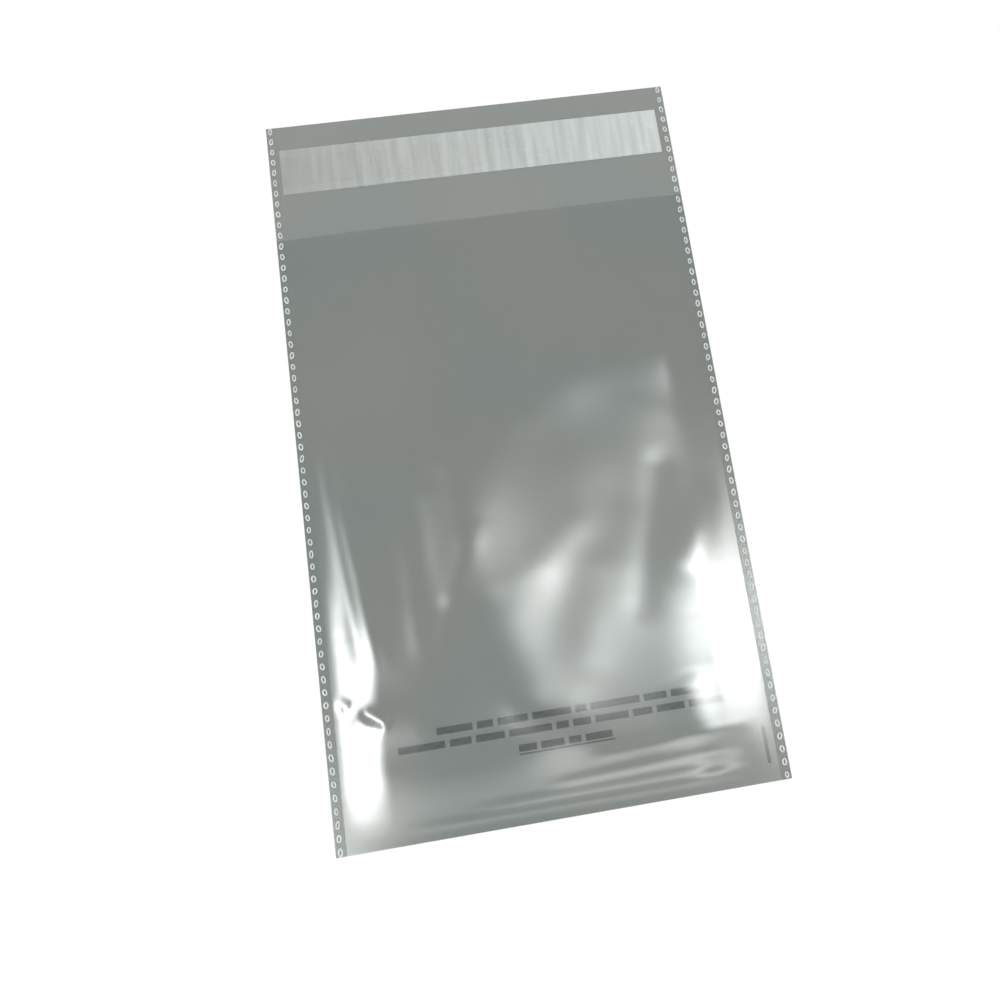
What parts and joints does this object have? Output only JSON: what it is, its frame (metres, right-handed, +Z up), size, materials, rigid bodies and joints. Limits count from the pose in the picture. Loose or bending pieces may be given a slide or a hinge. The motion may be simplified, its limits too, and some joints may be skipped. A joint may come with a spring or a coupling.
{
  "type": "self-seal plastic bag",
  "caption": "Flat clear film bag with beaded side welds, a bottom fold, an open mouth and a flap with an adhesive strip under a release liner.",
  "frame": {"origin": "on the surface that the bag lies on, under the middle of its overall length and width", "axes": "+X across the bag, +Y from the bottom fold towards the flap's free edge, +Z up from the surface that the bag lies on"},
  "size_m": [0.127, 0.216, 0.0029],
  "materials": {
    "clear_film": "clear gloss film",
    "adhesive": "clear tacky coating",
    "liner_film": "clear gloss film, finely rippled",
    "ink": "plain printed ink"
  },
  "bodies": {
    "root": {"film_bag": "clear_film", "adhesive_strip": "adhesive", "release_liner": "liner_film"}
  },
  "joints": []
}
